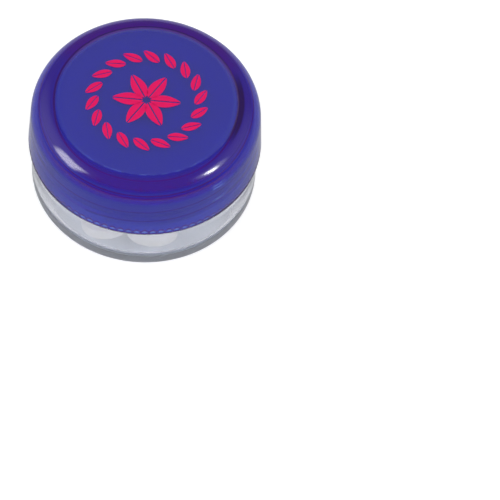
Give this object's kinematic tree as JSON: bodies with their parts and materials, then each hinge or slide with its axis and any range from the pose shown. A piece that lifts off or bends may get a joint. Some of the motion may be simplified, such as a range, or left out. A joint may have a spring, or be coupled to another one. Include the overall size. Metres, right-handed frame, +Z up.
{
  "type": "screw top mint pot",
  "caption": "Low round screw-top pot: thick clear jar full of white mints, loose seal disc and a round-edged translucent blue lid on a coarse thread.",
  "frame": {"origin": "centre of the circle on which the jar's foot stands", "axes": "+Z up along the axis of the jar and of the lid's thread, -Y towards the viewer"},
  "size_m": [0.0464, 0.0464, 0.0256],
  "materials": {
    "clear_plastic": "clear injection-moulded styrene, polished",
    "blue_plastic": "translucent cobalt blue injection-moulded styrene, polished",
    "seal_plastic": "thin natural polyethylene, milky",
    "mint": "pressed white sugar, fine powdery surface"
  },
  "bodies": {
    "jar": {"jar": "clear_plastic", "mint_01": "mint", "mint_02": "mint", "mint_03": "mint", "mint_04": "mint", "mint_05": "mint", "mint_06": "mint", "mint_07": "mint", "mint_08": "mint", "mint_09": "mint", "mint_10": "mint", "mint_11": "mint", "mint_12": "mint", "mint_13": "mint", "mint_14": "mint", "mint_15": "mint", "mint_16": "mint", "mint_17": "mint", "mint_18": "mint", "mint_19": "mint", "mint_20": "mint", "mint_21": "mint", "mint_22": "mint", "mint_23": "mint", "mint_24": "mint", "mint_25": "mint", "mint_26": "mint", "mint_27": "mint", "mint_28": "mint", "mint_29": "mint", "mint_30": "mint"},
    "seal": {"seal_disc": "seal_plastic"},
    "lid": {"lid": "blue_plastic"}
  },
  "joints": [
    {"name": "lid_lift", "type": "slide", "parent": "jar", "child": "seal", "axis": [0, 0, 1], "range_m": [0, 0.02475]},
    {"name": "lid_turn", "type": "hinge", "parent": "seal", "child": "lid", "pos_m": [0, 0, 0.0128], "axis": [0, 0, 1], "range_deg": [0, 1620]}
  ],
  "couplings": [
    {"joint": "lid_lift", "follows": "lid_turn", "m_per_rad": 0.00087535}
  ]
}
